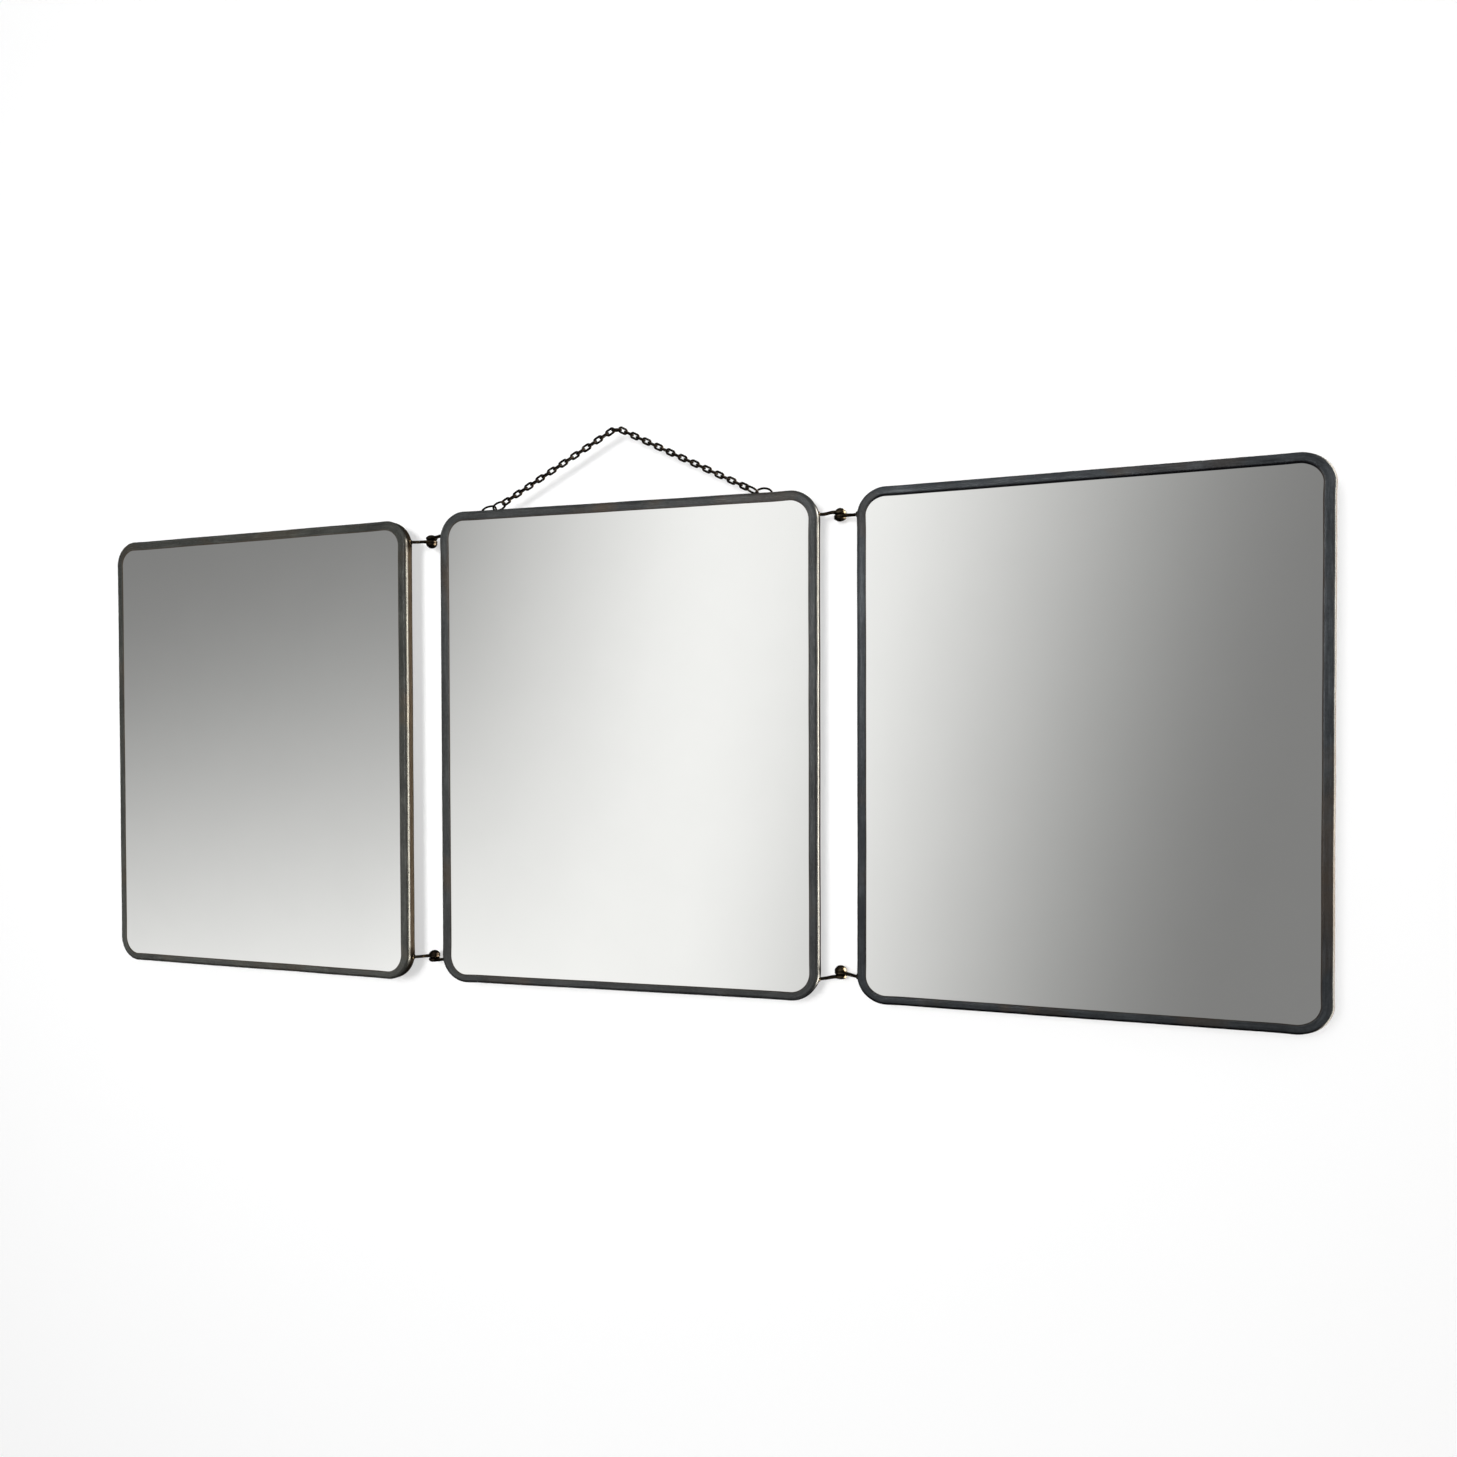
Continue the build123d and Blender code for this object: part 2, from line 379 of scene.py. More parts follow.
def coverMaterial():
    finish = coverFinish
    material, tree, shader = newMaterial("zincSheet")
    point = objectPoint(tree)
    spangle = addNode(
        tree, "ShaderNodeTexVoronoi", {"Vector": point, "Scale": finish["spanglesPerMetre"]}
    )
    facet = addNode(tree, "ShaderNodeSeparateColor", {"Color": spangle.outputs["Color"]})
    share, base = finish["spangleShare"], finish["spangleBase"]
    shade = addMath(tree, "MULTIPLY_ADD", facet.outputs[0], share, base)
    cloud = noiseOf(tree, point, finish["cloudsPerMetre"], 5, 0.6, 0.5)
    mixed = addMath(tree, "ADD", shade, cloud)
    tone = rampOf(tree, mixed, [(0.45, finish["dark"]), (0.95, finish["light"])])
    stain = noiseOf(tree, point, finish["stainsPerMetre"], 4, 0.6, 1.0)
    stainAt = greyRamp(tree, stain, [(0.55, 0.0), (0.72, finish["stainMost"])])
    tone = mixColours(tree, stainAt, tone, finish["stain"])
    feed(tree, shader, "Base Color", tone)
    low, high = finish["roughness"]
    feed(tree, shader, "Roughness", greyRamp(tree, cloud, [(0.3, low), (0.7, high)]))
    shader.inputs["Metallic"].default_value = finish["metal"]
    shader.inputs["Specular IOR Level"].default_value = finish["gloss"]
    addGrain(tree, shader, point, finish["dents"])
    return material


brassFinish = {
    "gold": (0.50, 0.37, 0.19),
    "goldShare": 0.10,
    "brown": (0.032, 0.024, 0.017),
    "black": (0.010, 0.008, 0.007),
    "roughness": (0.16, 0.34),
    "wearPerMetre": 260,
    "filings": {"perMetre": 1400, "strength": 0.2, "depth": 0.04 * mm},
    # paler brass near the pin: a real rub, made stronger on the right as painted light
    "rubbedAndLit": (0.085, 0.066, 0.042),
    "rubbedReach": 6 * mm,
    "rubbedSoft": 2 * mm,
}


# brass wears paler near the pin that it turns on, by the rubbed share: a real rub, and painted
# light where the share is high on the right hinges and low on the left
def rubbedAndLitTone(tree, tone, wear, pin, rubbedAndLit):
    finish = brassFinish
    place = addNode(tree, "ShaderNodeTexCoord")
    shifted = addNode(
        tree,
        "ShaderNodeMapping",
        {"Vector": place.outputs["Object"], "Location": (-pin.x, -pin.y, 0), "Scale": (1, 1, 0)},
    )
    far = addNode(
        tree, "ShaderNodeVectorMath", {0: shifted.outputs["Vector"]}, operation="LENGTH"
    )
    away = softStep(tree, far.outputs["Value"], finish["rubbedReach"], finish["rubbedSoft"])
    near = addMath(tree, "SUBTRACT", 1.0, away)
    patch = greyRamp(tree, wear, [(0.36, 0.35), (0.60, 1.0)])
    near = addMath(tree, "MULTIPLY", addMath(tree, "MULTIPLY", near, patch), rubbedAndLit)
    return mixColours(tree, near, tone, finish["rubbedAndLit"])


def brassMaterial(name, pin=None, rubbedAndLit=0.0):
    finish = brassFinish
    material, tree, shader = newMaterial(name)
    point = objectPoint(tree)
    wear = noiseOf(tree, point, finish["wearPerMetre"], 4, 0.6, 0.6)
    goldFrom = 0.92 - finish["goldShare"]
    tone = rampOf(
        tree, wear, [(0.30, finish["black"]), (0.56, finish["brown"]), (goldFrom, finish["gold"])]
    )
    if pin:
        tone = rubbedAndLitTone(tree, tone, wear, pin, rubbedAndLit)
    feed(tree, shader, "Base Color", tone)
    low, high = finish["roughness"]
    feed(tree, shader, "Roughness", greyRamp(tree, wear, [(0.3, high), (0.75, low)]))
    shader.inputs["Metallic"].default_value = 1.0
    addGrain(tree, shader, point, finish["filings"])
    return material


ironFinish = {
    "black": (0.007, 0.006, 0.006),
    "brown": (0.026, 0.019, 0.014),
    "worn": (0.14, 0.12, 0.10),
    "roughness": (0.3, 0.55),
    "rustPerMetre": 380,
    "scale": {"perMetre": 1800, "strength": 0.3, "depth": 0.04 * mm},
}


def ironMaterial(name, wornAt):
    finish = ironFinish
    material, tree, shader = newMaterial(name)
    point = objectPoint(tree)
    rust = noiseOf(tree, point, finish["rustPerMetre"], 5, 0.65, 0.4)
    tone = rampOf(
        tree, rust, [(0.36, finish["black"]), (0.58, finish["brown"]), (wornAt, finish["worn"])]
    )
    feed(tree, shader, "Base Color", tone)
    low, high = finish["roughness"]
    feed(tree, shader, "Roughness", greyRamp(tree, rust, [(0.35, low), (0.7, high)]))
    shader.inputs["Metallic"].default_value = 1.0
    addGrain(tree, shader, point, finish["scale"])
    return material


# the nodes that stay as they are; every other node is replaced by a piece below
carriedFinishes = {
    "mirror_glass": mirrorMaterial(),
    "backing_board": boardMaterial(),
    "rear_cover": coverMaterial(),
    "chain_run": ironMaterial("ironChain", 0.78),
    "apex_link": ironMaterial("ironLink", 0.78),
}
for name, node in nodes.items():
    for ending, finish in carriedFinishes.items():
        if name.endswith(ending):
            node.data.materials.clear()
            node.data.materials.append(finish)
collarFinish = brassMaterial("brownedCollar")
wireFinish = ironMaterial("ironRing", 0.74)
print("finishes mixed")

# each panel's channel is swept round its outline as one folded sheet; lengths along
# the section are inset from the outside and deep from the front

channel = {
    "lip": 5.6 * mm,
    "sheet": 0.6 * mm,
    "shoulder": 2.4 * mm,
    "rearEdge": 1.0 * mm,
    "flange": 4.5 * mm,
    "corner": 16.5 * mm,
    "ringStep": 2.5 * mm,
    "cornerRings": 16,
    "crowns": {"left": 0.12 * mm, "centre": 0.10 * mm, "right": 0.32 * mm},
    "waveDepth": 0.32 * mm,
    "waveLength": 38 * mm,
    "kinkReach": 5 * mm,
    "hammerDepth": 0.07 * mm,
    "hammerLength": 5 * mm,
    "wingTurn": 4.0,
    "drops": {"left": 1.4 * mm, "right": 0.0},
    "paintedShadeReach": 1.5 * mm,
    "paintedShadeStart": 0.3 * mm,
    "paintedShadeRise": 2.5,
    "edgeReach": 0.7 * mm,
    "seedStep": 3.7,
}

# the channels were bent by hand: how far, in millimetres, each side's lip reaches
# further over the glass and its outside stands further out than drawn
sideOffsets = {
    "left": {"left": (1.1, -1.1), "right": (0.3, 0.0), "top": (0.7, 0.0), "bottom": (-0.7, 0.4)},
    "centre": {"left": (1.2, 0.0), "right": (-0.3, 0.7), "top": (-0.5, 1.1), "bottom": (-0.8, 0.6)},
    "right": {"left": (0.0, 0.0), "right": (-0.1, 1.2), "top": (1.0, -0.5), "bottom": (0.5, -0.6)},
}


# how squarely a direction faces each side, from 0 to 1
def sideShares(outward):
    return {
        "left": max(0.0, -outward.x) ** 2,
        "right": max(0.0, outward.x) ** 2,
        "top": max(0.0, outward.y) ** 2,
        "bottom": max(0.0, -outward.y) ** 2,
    }


def bentSide(panel, shares):
    offsets = sideOffsets[panel]
    over = sum(share * offsets[side][0] for side, share in shares.items())
    out = sum(share * offsets[side][1] for side, share in shares.items())
    return over * mm, out * mm


def arc(centre, radius, start, end, steps):
    points = []
    for step in range(steps + 1):
        angle = math.radians(start + (end - start) * step / steps)
        points.append((centre[0] + radius * math.cos(angle), centre[1] + radius * math.sin(angle)))
    return points


def run(first, last, steps):
    return [
        tuple(a + (b - a) * step / steps for a, b in zip(first, last)) for step in range(1, steps)
    ]


def channelSection(depth):
    lip, sheet, shoulder = channel["lip"], channel["sheet"], channel["shoulder"]
    rear, flange = channel["rearEdge"], channel["flange"]
    half = sheet / 2
    section = arc((lip - half, half), half, 90, -90, 8)
    section += run((lip - half, 0), (shoulder, 0), 10)
    section += arc((shoulder, shoulder), shoulder, -90, -180, 10)
    section += run((0, shoulder), (0, depth - rear), 6)
    section += arc((rear, depth - rear), rear, 180, 90, 4)
    section += run((rear, depth), (flange, depth), 5)
    outerCount = len(section)
    section += [(flange, depth), (flange, depth - sheet)]
    section += run((flange, depth - sheet), (rear, depth - sheet), 3)
    section += arc((rear, depth - rear), rear - sheet, 90, 180, 2)
    section += arc((shoulder, shoulder), shoulder - sheet, -180, -90, 4)
    section += run((shoulder, sheet), (lip - half, sheet), 4)
    return section, outerCount


# stations round the outline: corner centre, outward direction, length so far
# and distance to the nearest bend
def outlineRings(width, height):
    corner = channel["corner"]
    bend = corner * math.radians(90)
    halfWidth, halfHeight = width / 2 - corner, height / 2 - corner
    corners = [(halfWidth, -halfHeight), (halfWidth, halfHeight)]
    corners += [(-halfWidth, halfHeight), (-halfWidth, -halfHeight)]
    rings = []
    along = 0.0
    for number, (x, z) in enumerate(corners):
        turn = math.radians(-90 + 90 * number)
        back = corners[number - 1]
        length = math.dist(back, (x, z))
        count = round(length / channel["ringStep"])
        for step in range(count):
            share = step / count
            spot = Vector((back[0] + (x - back[0]) * share, back[1] + (z - back[1]) * share))
            outward = Vector((math.cos(turn), math.sin(turn)))
            toBend = min(share, 1 - share) * length
            rings.append((spot, outward, along + share * length, toBend))
        along += length
        for step in range(channel["cornerRings"]):
            share = step / channel["cornerRings"]
            angle = turn + math.radians(90 * share)
            outward = Vector((math.cos(angle), math.sin(angle)))
            toBend = min(share, 1 - share) * bend
            rings.append((Vector((x, z)), outward, along + share * bend, toBend))
        along += bend
    return rings


def panelPlace(panel):
    middle = boxCentre("centre_frame")
    place = Matrix.Translation((middle.x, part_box("centre_frame")[0].y, middle.z))
    if panel == "centre":
        return place
    pin = foldPin(panel)
    beside = Vector((2 * (pin.x - middle.x), 0, -channel["drops"][panel]))
    turn = Matrix.Rotation(math.radians(-channel["wingTurn"]), 4, "Z")
    return Matrix.Translation(pin) @ turn @ Matrix.Translation(beside - pin) @ place


# the shares of the painted dark rim, the painted black shade and the brown inner lip edge at one
# point of the section
def zoneShares(panel, shares, inset, deep, outer):
    rim, paintedShade, edge = 0.0, 0.0, 0.0
    # painted shade: the dark rim on the right panel's outermost right edge
    if outer and panel == "right" and inset < channel["edgeReach"]:
        rim = shares["right"]
    # painted shade: black along the top lip's inner edge and under the bottom shoulder
    if outer and deep < channel["shoulder"]:
        fromEdge = max(0.0, 1 - abs(inset - channel["lip"]) / channel["paintedShadeReach"])
        fromOut = max(0.0, 1 - max(0.0, inset - channel["paintedShadeStart"]) / channel["paintedShadeReach"])
        paintedShade = channel["paintedShadeRise"] * (shares["top"] * fromEdge + shares["bottom"] * fromOut)
    if deep <= channel["sheet"] + hair:
        edge = max(0.0, 1 - abs(inset - channel["lip"]) / channel["edgeReach"])
    return rim, min(1.0, paintedShade), edge


# hammer marks push the lip and the wall in
def hammered(spot, inset, deep, onLip, rear):
    mark = channel["hammerDepth"] * (0.5 + 0.5 * noise.noise(spot))
    if onLip:
        return inset, deep + mark
    return (inset + mark if deep < rear else inset), deep


def crowned(panel, inset, deep):
    share = (inset - channel["shoulder"]) / (channel["lip"] - channel["shoulder"])
    if share > 0.5:
        deep += channel["crowns"][panel] * (2 * share - 1) ** 2
    return min(deep, channel["sheet"])


def sweptMesh(name, corners, total, count):
    faces = []
    for ring in range(total):
        here, there = ring * count, ((ring + 1) % total) * count
        for number in range(count):
            after = (number + 1) % count
            faces.append((here + number, here + after, there + after, there + number))
    mesh = bpy.data.meshes.new(name)
    mesh.from_pydata(corners, [], faces)
    mesh.shade_smooth()
    return mesh


def makeChannel(panel, seed):
    low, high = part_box("centre_frame")
    depth = high.y - low.y
    rear = depth - channel["rearEdge"]
    section, outerCount = channelSection(depth)
    rings = outlineRings(high.x - low.x, high.z - low.z)
    place = panelPlace(panel)
    corner = channel["corner"]
    across = [0.0]
    for before, after in zip(section, section[1:]):
        across.append(across[-1] + math.dist(after, before))
    corners, drawn, zones = [], [], []
    for spot, outward, along, toBend in rings:
        edge = spot + corner * outward
        wave = 0.5 + 0.5 * noise.noise(Vector((edge.x, edge.y, seed)) / channel["waveLength"])
        kink = math.exp(-((toBend / channel["kinkReach"]) ** 2))
        drawIn = channel["waveDepth"] * wave * (1 - kink)
        shares = sideShares(outward)
        over, out = bentSide(panel, shares)
        for number, (inset, deep) in enumerate(section):
            outer = number < outerCount
            rim, paintedShade, worn = zoneShares(panel, shares, inset, deep, outer)
            inward = min(1.0, max(0.0, inset / channel["lip"]))
            inset = inset + drawIn + inward * over - (1 - inward) * out
            onLip = deep <= channel["sheet"] + hair and inset > channel["shoulder"]
            if outer:
                struck = Vector((edge.x - inset * outward.x, deep * 2, edge.y - inset * outward.y))
                struck = struck / channel["hammerLength"] + Vector((seed, 0, 0))
                inset, deep = hammered(struck, inset, deep, onLip, rear)
            if onLip:
                deep = crowned(panel, inset, deep)
            flat = spot + (corner - inset) * outward
            corners.append(place @ Vector((flat.x, deep, flat.y)))
            drawn.append((along + seed, across[number], rim))
            zones.append((worn, paintedShade, 1.0 if deep > channel["shoulder"] else 0.0))
    mesh = sweptMesh(panel + "Channel", corners, len(rings), len(section))
    for name, values in (("drawn", drawn), ("zone", zones)):
        layer = mesh.attributes.new(name, "FLOAT_VECTOR", "POINT")
        layer.data.foreach_set("vector", [value for triple in values for value in triple])
    mesh.materials.append(channelMaterial(panel, channelFinish["glosses"][panel]))
    mesh.materials.append(channelMaterial(panel, channelFinish["wallGloss"], "Wall"))
    for face in mesh.polygons:
        face.material_index = 1 if all(zones[vertex][2] > 0 for vertex in face.vertices) else 0
    piece = addObject(panel + "Channel", mesh)
    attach(piece, bodyOf(panel))
    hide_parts(panel + "_frame")


for number, panel in enumerate(("left", "centre", "right")):
    makeChannel(panel, channel["seedStep"] * (number + 1))
print("channels swept")

# hinges: round tapered arms with flat eyes, held by domed rivets, a small bead at each root

hinge = {
    "inset": 13.3 * mm,
    "reach": 11.75 * mm,
    "armDepth": 5.4 * mm,
    "pinDepth": 12.0 * mm,
    "level": 1.15 * mm,
    "straight": 2.0 * mm,
    "tail": 2.5 * mm,
    "rootWidth": 1.15 * mm,
    "rootHeight": 0.95 * mm,
    "webWidth": 2.7 * mm,
    "webHeight": 1.05 * mm,
    "eye": 3.7 * mm,
    "halfEye": 1.1 * mm,
    "footSize": (1.2 * mm, 3.4 * mm, 9.0 * mm),
    "shank": 1.5 * mm,
    "dome": 3.7 * mm,
    "domeTip": 0.02 * mm,
    "peen": 3.0 * mm,
    "bead": 1.75 * mm,
    "beadHeight": 1.0 * mm,
    "beadSunk": 0.5 * mm,
    "armSteps": 12,
    "narrowing": 1.0 * mm,
    "rise": 1.5,
    "flare": 1.6,
    "footSteps": 8,
    "footPlay": 0.05 * mm,
    "hole": 0.3,
    "grain": 0.2 * mm,
    "rounding": 0.5,
    "passes": 7,
}

# what makes each hinge its own, in millimetres: how far its knuckle and its two
# roots stand above the drawn height, and how tall its dome and its peened end are
hingeOffsets = {
    ("right", "upper"): {"knuckle": 0.6, "centre": -1.2, "wing": -0.3, "dome": 1.7, "peen": 1.7},
    ("right", "lower"): {"knuckle": 1.1, "centre": 0.5, "wing": 0.8, "dome": 3.2, "peen": 0.5},
    ("left", "upper"): {"knuckle": -0.6, "centre": -0.6, "wing": -1.2, "dome": 3.0, "peen": 1.1},
    ("left", "lower"): {"knuckle": -0.9, "centre": 0.5, "wing": -1.2, "dome": 2.5, "peen": 0.7},
}
panelHalf = {"width": 122.5 * mm, "height": 150.0 * mm}


def addCircle(mesh, centre, side, above, radius, steps):
    ring = []
    for step in range(steps):
        angle = 2 * math.pi * step / steps
        spoke = side * math.cos(angle) + above * math.sin(angle)
        ring.append(mesh.verts.new(centre + spoke * radius))
    return ring


# joins neighbouring rings by faces; a row that isn't closed gets its two end caps
def bridge(mesh, rings, closed=False):
    steps = len(rings[0])
    following = rings[1:] + rings[:1] if closed else rings[1:]
    for first, second in zip(rings, following):
        for step in range(steps):
            after = (step + 1) % steps
            mesh.faces.new((first[step], first[after], second[after], second[step]))
    if not closed:
        mesh.faces.new(rings[0][::-1])
        mesh.faces.new(rings[-1])


def tube(mesh, spine, steps=20):
    rings = []
    for number, (centre, halfWidth, halfHeight) in enumerate(spine):
        before = Vector(spine[max(number - 1, 0)][0])
        after = Vector(spine[min(number + 1, len(spine) - 1)][0])
        ahead = (after - before).normalized()
        side = ahead.cross(Vector((0, 0, 1))).normalized()
        above = side.cross(ahead)
        ring = []
        for step in range(steps):
            angle = 2 * math.pi * step / steps
            offset = side * (halfWidth * math.cos(angle)) + above * (halfHeight * math.sin(angle))
            ring.append(mesh.verts.new(Vector(centre) + offset))
        rings.append(ring)
    bridge(mesh, rings)


def turned(mesh, centre, axis, profile, steps=32):
    axis = Vector(axis)
    side = axis.orthogonal().normalized()
    above = axis.cross(side)
    rings = []
    for radius, height in profile:
        middle = Vector(centre) + axis * height
        rings.append(addCircle(mesh, middle, side, above, radius, steps))
    bridge(mesh, rings)


def eyeProfile():
    half, eye = hinge["halfEye"], hinge["eye"]
    hole = hinge["hole"] * eye
    return [(hole, -half)] + arc((eye - half, 0), half, -90, 90, 10) + [(hole, half)]


def domeProfile(radius, height, steps=12):
    ball = (radius**2 + height**2) / (2 * height)
    widest = math.asin(min(1.0, radius / ball))
    if height > radius:
        widest = math.pi - widest
    points = []
    for step in range(steps + 1):
        angle = widest * (1 - step / steps)
        reach = max(ball * math.sin(angle), hinge["domeTip"])
        points.append((reach, height - ball + ball * math.cos(angle)))
    return points


def finishPiece(name, build, material, body, node, passes=0):
    build.normal_update()
    bmesh.ops.recalc_face_normals(build, faces=build.faces)
    mesh = bpy.data.meshes.new(name)
    build.to_mesh(mesh)
    build.free()
    mesh.shade_smooth()
    mesh.materials.append(material)
    piece = addObject(name, mesh)
    if passes:
        remesh = piece.modifiers.new("forge", "REMESH")
        remesh.mode = "VOXEL"
        remesh.voxel_size = hinge["grain"]
        remesh.use_smooth_shade = True
        smooth = piece.modifiers.new("file", "SMOOTH")
        smooth.factor = hinge["rounding"]
        smooth.iterations = passes
    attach(piece, body)
    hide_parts(node)
    return piece


def wallInset(height):
    corner = channel["corner"]
    over = max(0.0, abs(height) - (panelHalf["height"] - corner))
    return corner - math.sqrt(corner**2 - over**2)


def rowOf(level):
    return "upper" if level > 0 else "lower"


# 1 for a hinge on the right of its panel, -1 for one on the left
def handOf(side, panel="centre"):
    hand = 1 if side == "right" else -1
    return hand if panel == "centre" else -hand


def armHeights(side, level, panel):
    offsets = hingeOffsets[(side, rowOf(level))]
    drop = channel["drops"][side] if panel != "centre" else 0.0
    offset = hinge["level"] if panel == "centre" else -hinge["level"]
    middle = level * (panelHalf["height"] - hinge["inset"] + offset) + drop
    root = middle + offsets["centre" if panel == "centre" else "wing"] * mm
    return root, middle + offsets["knuckle"] * mm


def armSpine(hand, root, eye):
    thin, low = hinge["rootWidth"], hinge["rootHeight"]
    depth = hinge["armDepth"]
    neck = panelHalf["width"] + hinge["straight"]
    pin = panelHalf["width"] + hinge["reach"]
    tail = panelHalf["width"] - wallInset(root) - hinge["tail"]
    spine = [((hand * tail, depth, root), thin, low)]
    for step in range(hinge["armSteps"] + 1):
        share = step / hinge["armSteps"]
        ease = share * share * (3 - 2 * share)
        x = neck + (pin - neck) * share - hinge["narrowing"] * (1 - share)
        y = depth + (hinge["pinDepth"] - depth) * share
        z = root + (eye - root) * min(1.0, hinge["rise"] * ease)
        width = thin + (hinge["webWidth"] - thin) * share ** hinge["flare"]
        spine.append(((hand * x, y, z), width, low + (hinge["webHeight"] - low) * share))
    return spine


# the foot stands inside the side wall, upright, and follows its corner
def addFoot(mesh, hand, root, level):
    thick, deep, tall = hinge["footSize"]
    start = root + (hinge["rootHeight"] - tall if level > 0 else -hinge["rootHeight"])
    near, far = hinge["armDepth"] - deep / 2, hinge["armDepth"] + deep / 2
    strip = []
    for step in range(hinge["footSteps"] + 1):
        z = start + tall * step / hinge["footSteps"]
        outer = panelHalf["width"] - channel["sheet"] - wallInset(z) - hinge["footPlay"]
        corners = [(outer, near), (outer, far), (outer - thick, far), (outer - thick, near)]
        strip.append([mesh.verts.new((hand * x, y, z)) for x, y in corners])
    bridge(mesh, strip)


def makeArm(side, level, panel):
    hand = handOf(side, panel)
    root, eye = armHeights(side, level, panel)
    pin = panelHalf["width"] + hinge["reach"]
    build = bmesh.new()
    tube(build, armSpine(hand, root, eye))
    turned(build, (hand * pin, hinge["pinDepth"], eye), (0, 0, 1), eyeProfile())
    addFoot(build, hand, root, level)
    build.transform(panelPlace(panel))
    row = rowOf(level)
    kind = "centre" if panel == "centre" else "wing"
    name = side + row.capitalize() + kind.capitalize() + "Arm"
    node = side + "_" + row + "_hinge_" + kind + "_arm"
    finish = hingeFinishes[side]
    finishPiece(name, build, finish, bodyOf(panel), node, hinge["passes"])


def makeRivet(side, level):
    row = rowOf(level)
    offsets = hingeOffsets[(side, row)]
    middle = level * (panelHalf["height"] - hinge["inset"]) + offsets["knuckle"] * mm
    half = hinge["level"] + hinge["halfEye"]
    dome = domeProfile(hinge["dome"], offsets["dome"] * mm)
    peen = domeProfile(hinge["peen"], offsets["peen"] * mm)
    profile = [(radius, half + height) for radius, height in reversed(dome)]
    profile += [(hinge["shank"], half), (hinge["shank"], -half)]
    profile += [(radius, -half - height) for radius, height in peen]
    pin = panelHalf["width"] + hinge["reach"]
    build = bmesh.new()
    turned(build, (handOf(side) * pin, hinge["pinDepth"], middle), (0, 0, -level), profile)
    build.transform(panelPlace("centre"))
    name = side + row.capitalize() + "Rivet"
    node = side + "_" + row + "_hinge_rivet"
    finishPiece(name, build, hingeFinishes[side], "centre_panel", node)


def makeBeads(panel):
    bead, tall = hinge["bead"], hinge["beadHeight"]
    profile = [(bead, -hinge["beadSunk"])]
    profile += arc((bead - 0.5 * tall, 0.5 * tall), 0.5 * tall, -20, 90, 8)
    profile += [(0.4 * bead, tall)]
    build = bmesh.new()
    for side in ("left", "right") if panel == "centre" else (panel,):
        hand = handOf(side, panel)
        for level in (1, -1):
            root = armHeights(side, level, panel)[0]
            wall = panelHalf["width"] - wallInset(root)
            turned(build, (hand * wall, hinge["armDepth"], root), (hand, 0, 0), profile)
    build.transform(panelPlace(panel))
    node = panel + "_hinge_collars"
    finishPiece(panel + "Beads", build, collarFinish, bodyOf(panel), node)


# painted light: the right hinges get the full paler rub and the left almost none, lit and shaded
# copies of one brass
hingeFinishes = {
    "left": brassMaterial("leftBrass", foldPin("left"), 0.1),
    "right": brassMaterial("rightBrass", foldPin("right"), 1.0),
}
for side in ("left", "right"):
    for level in (1, -1):
        makeArm(side, level, "centre")
        makeArm(side, level, side)
        makeRivet(side, level)
for panel in ("left", "centre", "right"):
    makeBeads(panel)
print("hinges forged")

# the hanger: heavier links, the left run rolled until its first link faces out,
# end rings on their own tilt, and arched loops

hanger = {
    "thicken": 0.13 * mm,
    "roll": 26.0,
    "ringLong": 4.1 * mm,
    "ringWide": 3.3 * mm,
    "ringWire": 0.62 * mm,
    "ringTilts": {"left": 72.0, "right": -74.0},
    "ringSteps": 64,
    "loopHalf": 5.1 * mm,
    "loopWire": 0.64 * mm,
    "loopLeans": {"left": 1.6 * mm, "right": 0.2 * mm},
    "loopFullness": 0.8,
    "loopSteps": 32,
    "foot": 1.2 * mm,
    "footHeight": 0.8 * mm,
}


def thicken(piece):
    swell = piece.modifiers.new("swell", "DISPLACE")
    swell.strength = hanger["thicken"]
    swell.mid_level = 0.0


def bentWire(mesh, middles, normal, radius, closed=False, steps=14):
    rings = []
    last = len(middles) - 1
    for number, middle in enumerate(middles):
        before = middles[number - 1] if closed else middles[max(number - 1, 0)]
        after = middles[(number + 1) % len(middles)] if closed else middles[min(number + 1, last)]
        above = normal.cross((after - before).normalized())
        rings.append(addCircle(mesh, middle, normal, above, radius, steps))
    bridge(mesh, rings, closed)


def makeRing(side):
    centre = boxCentre(side + "_end_ring")
    towards = (boxCentre("apex_link") - centre).normalized()
    level = towards.cross(Vector((0, 0, 1))).normalized()
    normal = Matrix.Rotation(math.radians(hanger["ringTilts"][side]), 3, towards) @ level
    across = normal.cross(towards)
    middles = []
    for step in range(hanger["ringSteps"]):
        angle = 2 * math.pi * step / hanger["ringSteps"]
        along = towards * (hanger["ringLong"] * math.cos(angle))
        middles.append(centre + along + across * (hanger["ringWide"] * math.sin(angle)))
    build = bmesh.new()
    bentWire(build, middles, normal, hanger["ringWire"], closed=True)
    finishPiece(side + "Ring", build, wireFinish, "hanger", side + "_end_ring")


